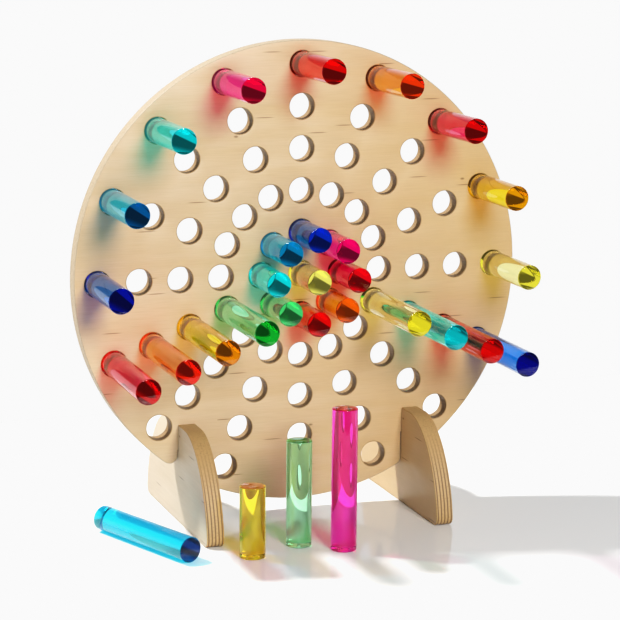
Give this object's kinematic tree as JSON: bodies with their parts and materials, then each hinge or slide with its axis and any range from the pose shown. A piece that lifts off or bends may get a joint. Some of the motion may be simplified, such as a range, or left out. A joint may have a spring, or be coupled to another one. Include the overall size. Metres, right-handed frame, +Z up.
{
  "type": "pegboard",
  "caption": "Round plywood pegboard standing upright in two slotted feet, with rings of through holes and clear coloured rod pegs of graded lengths.",
  "frame": {"origin": "on the floor, at the middle of the box around the board, its feet and the loose pegs", "axes": "+Z up, -Y to the front, where the board faces, and +X to the right seen from the front"},
  "size_m": [0.4, 0.228, 0.412],
  "materials": {
    "birch_plywood": "pale birch plywood, sanded and clear sealed, laminations showing on the edges",
    "acrylic_lemon": "clear lemon acrylic rod, polished",
    "acrylic_amber": "clear amber acrylic rod, polished",
    "acrylic_orange": "clear orange acrylic rod, polished",
    "acrylic_red": "clear red acrylic rod, polished",
    "acrylic_crimson": "clear crimson acrylic rod, polished",
    "acrylic_magenta": "clear magenta acrylic rod, polished",
    "acrylic_royal_blue": "clear royal blue acrylic rod, polished",
    "acrylic_sky_blue": "clear sky blue acrylic rod, polished",
    "acrylic_teal": "clear teal acrylic rod, polished",
    "acrylic_green": "clear green acrylic rod, polished"
  },
  "bodies": {
    "board": {"board": "birch_plywood"},
    "left_foot": {"left_foot": "birch_plywood"},
    "right_foot": {"right_foot": "birch_plywood"},
    "short_lemon_peg": {"short_lemon_peg": "acrylic_lemon"},
    "short_crimson_peg": {"short_crimson_peg": "acrylic_crimson"},
    "short_magenta_peg": {"short_magenta_peg": "acrylic_magenta"},
    "short_royal_blue_peg": {"short_royal_blue_peg": "acrylic_royal_blue"},
    "short_sky_blue_peg": {"short_sky_blue_peg": "acrylic_sky_blue"},
    "short_teal_peg": {"short_teal_peg": "acrylic_teal"},
    "short_green_peg": {"short_green_peg": "acrylic_green"},
    "short_red_peg": {"short_red_peg": "acrylic_red"},
    "short_orange_peg": {"short_orange_peg": "acrylic_orange"},
    "medium_lemon_peg": {"medium_lemon_peg": "acrylic_lemon"},
    "medium_amber_peg": {"medium_amber_peg": "acrylic_amber"},
    "medium_crimson_peg": {"medium_crimson_peg": "acrylic_crimson"},
    "medium_orange_peg": {"medium_orange_peg": "acrylic_orange"},
    "medium_red_peg": {"medium_red_peg": "acrylic_red"},
    "medium_magenta_peg": {"medium_magenta_peg": "acrylic_magenta"},
    "medium_teal_peg": {"medium_teal_peg": "acrylic_teal"},
    "medium_sky_blue_peg": {"medium_sky_blue_peg": "acrylic_sky_blue"},
    "medium_royal_blue_peg": {"medium_royal_blue_peg": "acrylic_royal_blue"},
    "long_green_peg": {"long_green_peg": "acrylic_green"},
    "long_amber_peg": {"long_amber_peg": "acrylic_amber"},
    "long_orange_peg": {"long_orange_peg": "acrylic_orange"},
    "long_crimson_peg": {"long_crimson_peg": "acrylic_crimson"},
    "long_lemon_peg": {"long_lemon_peg": "acrylic_lemon"},
    "long_teal_peg": {"long_teal_peg": "acrylic_teal"},
    "long_red_peg": {"long_red_peg": "acrylic_red"},
    "long_royal_blue_peg": {"long_royal_blue_peg": "acrylic_royal_blue"},
    "short_amber_peg": {"short_amber_peg": "acrylic_amber"},
    "medium_green_peg": {"medium_green_peg": "acrylic_green"},
    "long_magenta_peg": {"long_magenta_peg": "acrylic_magenta"},
    "long_sky_blue_peg": {"long_sky_blue_peg": "acrylic_sky_blue"}
  },
  "joints": [
    {"name": "left_foot_slide", "type": "slide", "parent": "board", "child": "left_foot", "axis": [0, 0, -1], "range_m": [0, 0.055]},
    {"name": "right_foot_slide", "type": "slide", "parent": "board", "child": "right_foot", "axis": [0, 0, -1], "range_m": [0, 0.055]},
    {"name": "short_lemon_slide", "type": "slide", "parent": "board", "child": "short_lemon_peg", "axis": [0, -1, 0], "range_m": [-0.048, 0.022]},
    {"name": "short_crimson_slide", "type": "slide", "parent": "board", "child": "short_crimson_peg", "axis": [0, -1, 0], "range_m": [-0.048, 0.022]},
    {"name": "short_magenta_slide", "type": "slide", "parent": "board", "child": "short_magenta_peg", "axis": [0, -1, 0], "range_m": [-0.048, 0.022]},
    {"name": "short_royal_blue_slide", "type": "slide", "parent": "board", "child": "short_royal_blue_peg", "axis": [0, -1, 0], "range_m": [-0.048, 0.022]},
    {"name": "short_sky_blue_slide", "type": "slide", "parent": "board", "child": "short_sky_blue_peg", "axis": [0, -1, 0], "range_m": [-0.048, 0.022]},
    {"name": "short_teal_slide", "type": "slide", "parent": "board", "child": "short_teal_peg", "axis": [0, -1, 0], "range_m": [-0.048, 0.022]},
    {"name": "short_green_slide", "type": "slide", "parent": "board", "child": "short_green_peg", "axis": [0, -1, 0], "range_m": [-0.048, 0.022]},
    {"name": "short_red_slide", "type": "slide", "parent": "board", "child": "short_red_peg", "axis": [0, -1, 0], "range_m": [-0.048, 0.022]},
    {"name": "short_orange_slide", "type": "slide", "parent": "board", "child": "short_orange_peg", "axis": [0, -1, 0], "range_m": [-0.048, 0.022]},
    {"name": "medium_lemon_slide", "type": "slide", "parent": "board", "child": "medium_lemon_peg", "axis": [0, -1, 0], "range_m": [-0.078, 0.022]},
    {"name": "medium_amber_slide", "type": "slide", "parent": "board", "child": "medium_amber_peg", "axis": [0, -1, 0], "range_m": [-0.078, 0.022]},
    {"name": "medium_crimson_slide", "type": "slide", "parent": "board", "child": "medium_crimson_peg", "axis": [0, -1, 0], "range_m": [-0.078, 0.022]},
    {"name": "medium_orange_slide", "type": "slide", "parent": "board", "child": "medium_orange_peg", "axis": [0, -1, 0], "range_m": [-0.078, 0.022]},
    {"name": "medium_red_slide", "type": "slide", "parent": "board", "child": "medium_red_peg", "axis": [0, -1, 0], "range_m": [-0.078, 0.022]},
    {"name": "medium_magenta_slide", "type": "slide", "parent": "board", "child": "medium_magenta_peg", "axis": [0, -1, 0], "range_m": [-0.078, 0.022]},
    {"name": "medium_teal_slide", "type": "slide", "parent": "board", "child": "medium_teal_peg", "axis": [0, -1, 0], "range_m": [-0.078, 0.022]},
    {"name": "medium_sky_blue_slide", "type": "slide", "parent": "board", "child": "medium_sky_blue_peg", "axis": [0, -1, 0], "range_m": [-0.078, 0.022]},
    {"name": "medium_royal_blue_slide", "type": "slide", "parent": "board", "child": "medium_royal_blue_peg", "axis": [0, -1, 0], "range_m": [-0.078, 0.022]},
    {"name": "long_green_slide", "type": "slide", "parent": "board", "child": "long_green_peg", "axis": [0, -1, 0], "range_m": [-0.108, 0.022]},
    {"name": "long_amber_slide", "type": "slide", "parent": "board", "child": "long_amber_peg", "axis": [0, -1, 0], "range_m": [-0.108, 0.022]},
    {"name": "long_orange_slide", "type": "slide", "parent": "board", "child": "long_orange_peg", "axis": [0, -1, 0], "range_m": [-0.108, 0.022]},
    {"name": "long_crimson_slide", "type": "slide", "parent": "board", "child": "long_crimson_peg", "axis": [0, -1, 0], "range_m": [-0.108, 0.022]},
    {"name": "long_lemon_slide", "type": "slide", "parent": "board", "child": "long_lemon_peg", "axis": [0, -1, 0], "range_m": [-0.108, 0.022]},
    {"name": "long_teal_slide", "type": "slide", "parent": "board", "child": "long_teal_peg", "axis": [0, -1, 0], "range_m": [-0.108, 0.022]},
    {"name": "long_red_slide", "type": "slide", "parent": "board", "child": "long_red_peg", "axis": [0, -1, 0], "range_m": [-0.108, 0.022]},
    {"name": "long_royal_blue_slide", "type": "slide", "parent": "board", "child": "long_royal_blue_peg", "axis": [0, -1, 0], "range_m": [-0.108, 0.022]},
    {"name": "short_amber_lift", "type": "slide", "parent": "board", "child": "short_amber_peg", "axis": [0, 0, 1], "range_m": [0, 0.04]},
    {"name": "medium_green_lift", "type": "slide", "parent": "board", "child": "medium_green_peg", "axis": [0, 0, 1], "range_m": [0, 0.04]},
    {"name": "long_magenta_lift", "type": "slide", "parent": "board", "child": "long_magenta_peg", "axis": [0, 0, 1], "range_m": [0, 0.04]},
    {"name": "long_sky_blue_lift", "type": "slide", "parent": "board", "child": "long_sky_blue_peg", "axis": [0, 0, 1], "range_m": [0, 0.04]}
  ]
}
